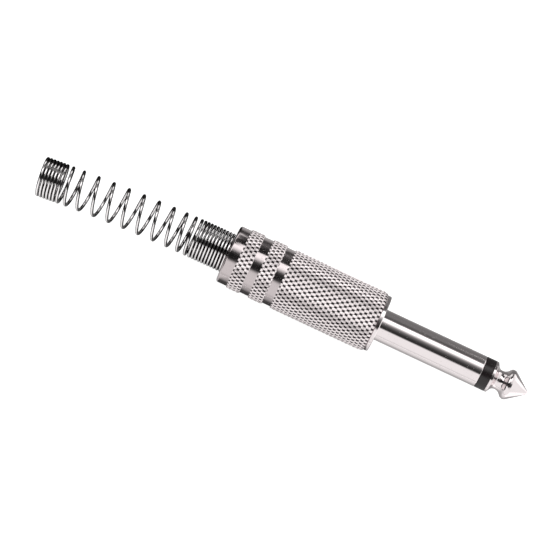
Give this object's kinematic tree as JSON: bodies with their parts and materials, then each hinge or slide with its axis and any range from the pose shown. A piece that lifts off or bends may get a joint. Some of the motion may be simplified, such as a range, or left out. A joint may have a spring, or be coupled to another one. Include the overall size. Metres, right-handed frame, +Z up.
{
  "type": "mono jack plug",
  "caption": "Straight two-pole 6.35 mm jack plug with a knurled screw-on shell, inner solder terminals and a coil spring strain relief.",
  "frame": {"origin": "centre of the shoulder's front face, where the plug stops against its socket", "axes": "+X along the barrel towards the tip, +Z up, cable end towards -X"},
  "size_m": [0.1031, 0.0124, 0.0124],
  "materials": {
    "bright_nickel": "bright nickel plate on brass",
    "shell_nickel": "nickel plate on turned and knurled brass",
    "black_insulator": "moulded black insulating plastic",
    "washer_board": "pressed brown insulating board",
    "tinned_sheet": "tinned sheet",
    "liner_plastic": "thin rolled plastic",
    "spring_wire": "nickel-plated spring wire"
  },
  "bodies": {
    "plug_body": {"barrel_body": "bright_nickel", "tip_contact": "bright_nickel", "ring_insulator": "black_insulator", "bore_insulator": "black_insulator", "ground_terminal": "tinned_sheet", "rear_insulator": "washer_board", "tip_terminal": "tinned_sheet"},
    "strain_relief": {"strain_spring": "spring_wire"},
    "shell": {"knurled_shell": "shell_nickel", "liner_tube": "liner_plastic"}
  },
  "joints": [
    {"name": "shell_travel", "type": "slide", "parent": "plug_body", "child": "strain_relief", "axis": [-1, 0, 0], "range_m": [0, 0.00525]},
    {"name": "shell_turn", "type": "hinge", "parent": "strain_relief", "child": "shell", "pos_m": [-0.016, 0, 0], "axis": [-1, 0, 0], "range_deg": [0, 2520]}
  ],
  "couplings": [
    {"joint": "shell_travel", "follows": "shell_turn", "m_per_rad": 0.00011937}
  ]
}
